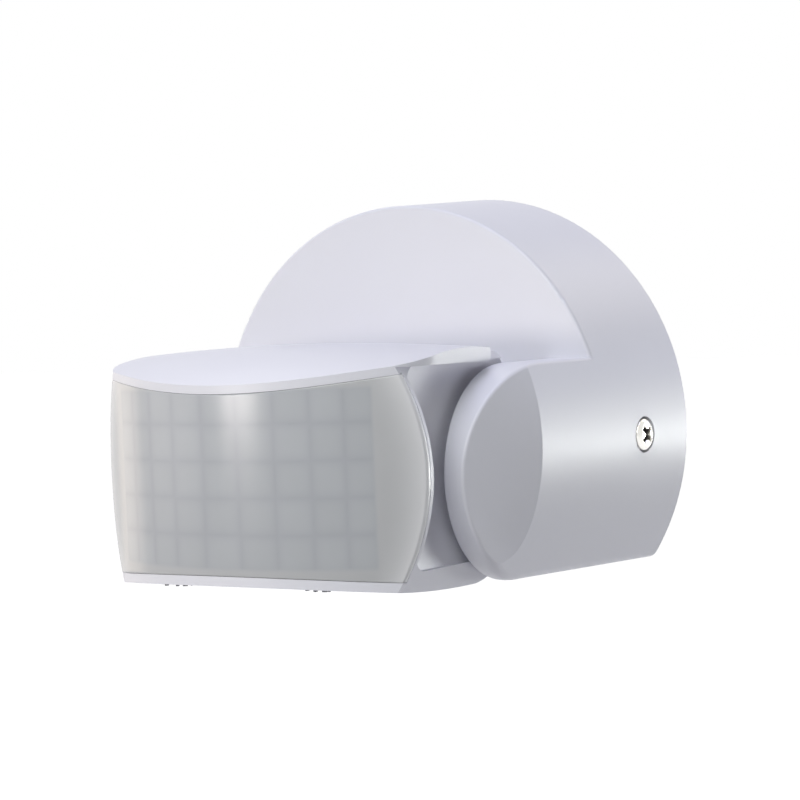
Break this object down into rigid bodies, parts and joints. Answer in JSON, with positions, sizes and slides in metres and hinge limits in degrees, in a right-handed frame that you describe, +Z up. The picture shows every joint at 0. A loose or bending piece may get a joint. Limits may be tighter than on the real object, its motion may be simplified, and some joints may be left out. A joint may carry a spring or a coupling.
{
  "type": "infrared motion sensor",
  "caption": "Wall-mounted infrared motion sensor: white D-shaped base with a two-arm yoke, tilting head with a curved milky segmented lens, two adjusting dials below and side screws.",
  "frame": {"origin": "centre of the base circle on the wall plane, midway between the two wall screw holes", "axes": "+Y back into the wall, +Z up, +X to the right seen from the front; the lens faces -Y"},
  "size_m": [0.09, 0.0877, 0.0711],
  "materials": {
    "white_housing": "fine satin, moulded",
    "plate_plastic": "satin, moulded",
    "grommet_rubber": "matt",
    "chromed_screw": "bright plated",
    "terminal_plastic": "satin",
    "plated_steel": "zinc plated",
    "board_laminate": "lacquered laminate",
    "relay_case": "smooth",
    "capacitor_case": "smooth",
    "capacitor_sleeve": "shrunk sleeve",
    "varistor_coat": "dipped coat",
    "lens_sheet": "milky, translucent",
    "frame_plastic": "satin",
    "ring_rubber": "matt",
    "detector_can": "drawn can",
    "filter_glass": "coated silicon",
    "sensor_ceramic": "glazed",
    "led_lens": "clear tinted",
    "trimmer_case": "satin",
    "knob_plastic": "satin, moulded"
  },
  "bodies": {
    "base": {"base_housing": "white_housing", "wall_plate": "plate_plastic", "cable_grommet": "grommet_rubber", "side_screws": "chromed_screw", "terminal_block": "terminal_plastic", "terminal_screws": "plated_steel", "power_board": "board_laminate", "board_screws": "plated_steel", "relay": "relay_case", "film_capacitor": "capacitor_case", "electrolytic_capacitor": "capacitor_sleeve", "varistor": "varistor_coat"},
    "head": {"head_housing": "white_housing", "fresnel_lens": "lens_sheet", "lens_frame": "frame_plastic", "friction_rings": "ring_rubber", "trunnion_clips": "plated_steel", "sensor_board": "board_laminate", "head_screws": "plated_steel", "detector_holder": "frame_plastic", "pir_detector": "detector_can", "detector_window": "filter_glass", "light_sensor": "sensor_ceramic", "indicator_led": "led_lens", "dial_board": "board_laminate", "time_trimmer": "trimmer_case", "lux_trimmer": "trimmer_case"},
    "time_dial": {"time_knob": "knob_plastic"},
    "lux_dial": {"lux_knob": "knob_plastic"}
  },
  "joints": [
    {"name": "head_tilt", "type": "hinge", "parent": "base", "child": "head", "pos_m": [0, -0.0469, -0.00555], "axis": [1, 0, 0], "range_deg": [-30, 50]},
    {"name": "time_turn", "type": "hinge", "parent": "head", "child": "time_dial", "pos_m": [0.0137, -0.0755, -0.0237], "axis": [0, 0, -1], "range_deg": [-135, 135]},
    {"name": "lux_turn", "type": "hinge", "parent": "head", "child": "lux_dial", "pos_m": [-0.0184, -0.0755, -0.0237], "axis": [0, 0, -1], "range_deg": [-135, 135]}
  ]
}
